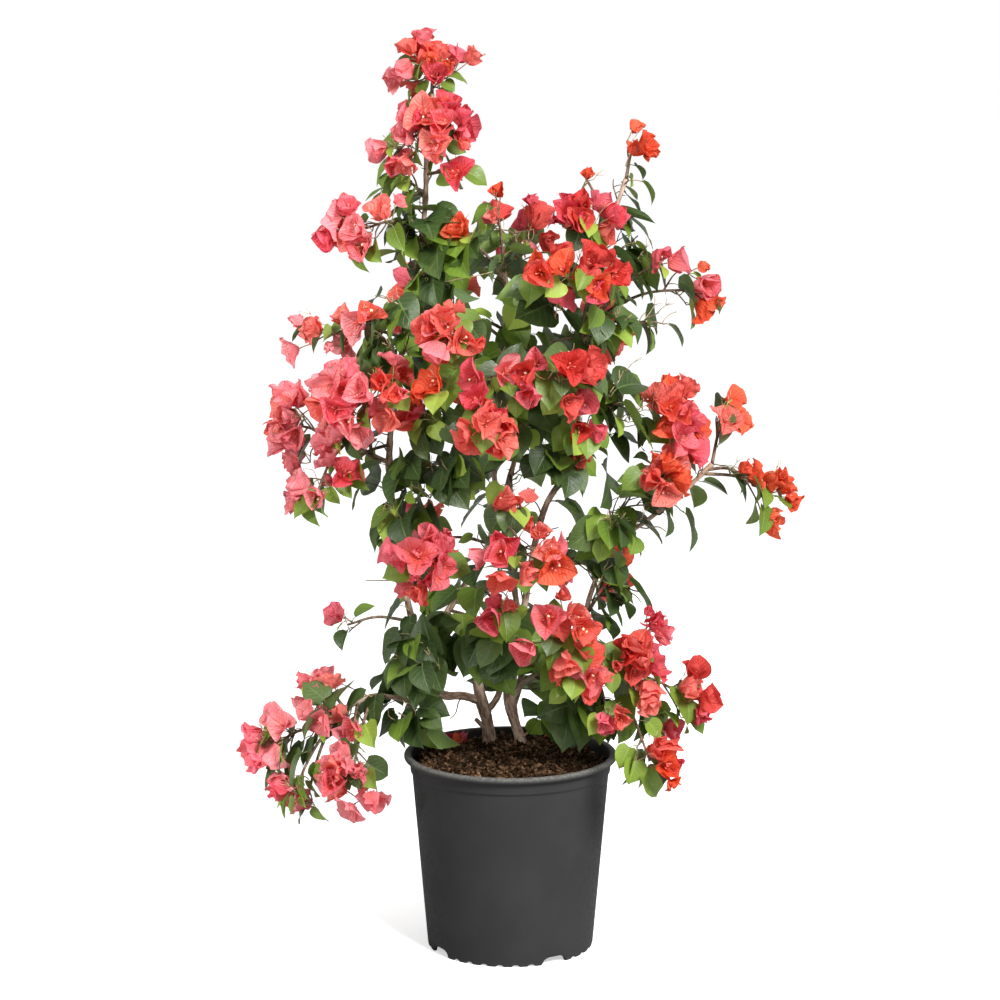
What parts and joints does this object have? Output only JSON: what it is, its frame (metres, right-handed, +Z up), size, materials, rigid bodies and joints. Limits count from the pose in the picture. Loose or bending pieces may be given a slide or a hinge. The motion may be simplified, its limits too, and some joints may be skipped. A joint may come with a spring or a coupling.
{
  "type": "potted bougainvillea bush",
  "caption": "Flowering climbing shrub grown upright in a round nursery pot, with long arching stems and sprays of papery coral blooms.",
  "frame": {"origin": "centre of the pot's flat underside, on the surface that the pot stands on", "axes": "+Z up along the pot's axis, -Y towards the bush's front, +X to the right as seen from the front"},
  "size_m": [0.7249, 0.481, 1.1941],
  "materials": {
    "pot": "matte dark grey moulded plastic",
    "potting_mix": "moist dark brown bark and peat, rough",
    "bark": "grey-brown bark, ridged and flaking",
    "leaf": "satin green leaves",
    "bloom": "papery coral and pink bracts"
  },
  "bodies": {
    "root": {"pot": "pot", "potting_mix": "potting_mix", "trunk_left": "bark", "trunk_right": "bark", "bough_left_cross": "bark", "stem_left_tall": "bark", "stem_left_inner": "bark", "bough_left_mid": "bark", "bough_low_left": "bark", "stem_right_tall": "bark", "bough_right_low": "bark", "stem_right_outer": "bark", "stem_back": "bark", "bloom_crest_top": "bloom", "bloom_crest_low": "bloom", "bloom_shoulder": "bloom", "bloom_top_middle": "bloom", "bloom_right_crest": "bloom", "bloom_right_tip": "bloom", "bloom_right_upper": "bloom", "bloom_right_high": "bloom", "bloom_left_high": "bloom", "bloom_left_big": "bloom", "bloom_left_outer": "bloom", "bloom_left_lower": "bloom", "bloom_centre_top": "bloom", "bloom_centre": "bloom", "bloom_centre_right": "bloom", "bloom_right_middle": "bloom", "bloom_right_arch": "bloom", "bloom_right_far": "bloom", "bloom_left_breast": "bloom", "bloom_centre_low": "bloom", "bloom_apron": "bloom", "bloom_right_low": "bloom", "bloom_right_skirt": "bloom", "bloom_right_drop": "bloom", "bloom_left_tip": "bloom", "bloom_left_low": "bloom", "bloom_left_fall": "bloom", "bloom_left_small": "bloom", "bloom_back_top": "bloom", "bloom_back_left": "bloom", "bloom_back_right": "bloom", "bloom_back_middle": "bloom", "bloom_back_low_left": "bloom", "bloom_back_low_right": "bloom", "leaves_crest": "leaf", "leaves_shoulder": "leaf", "leaves_right_top": "leaf", "leaves_top": "leaf", "leaves_left_middle": "leaf", "leaves_centre": "leaf", "leaves_right_middle": "leaf", "leaves_left_low": "leaf", "leaves_right_low": "leaf", "leaves_skirt_right": "leaf", "leaves_skirt_left": "leaf", "leaves_middle_low": "leaf", "leaves_foot": "leaf"}
  },
  "joints": []
}
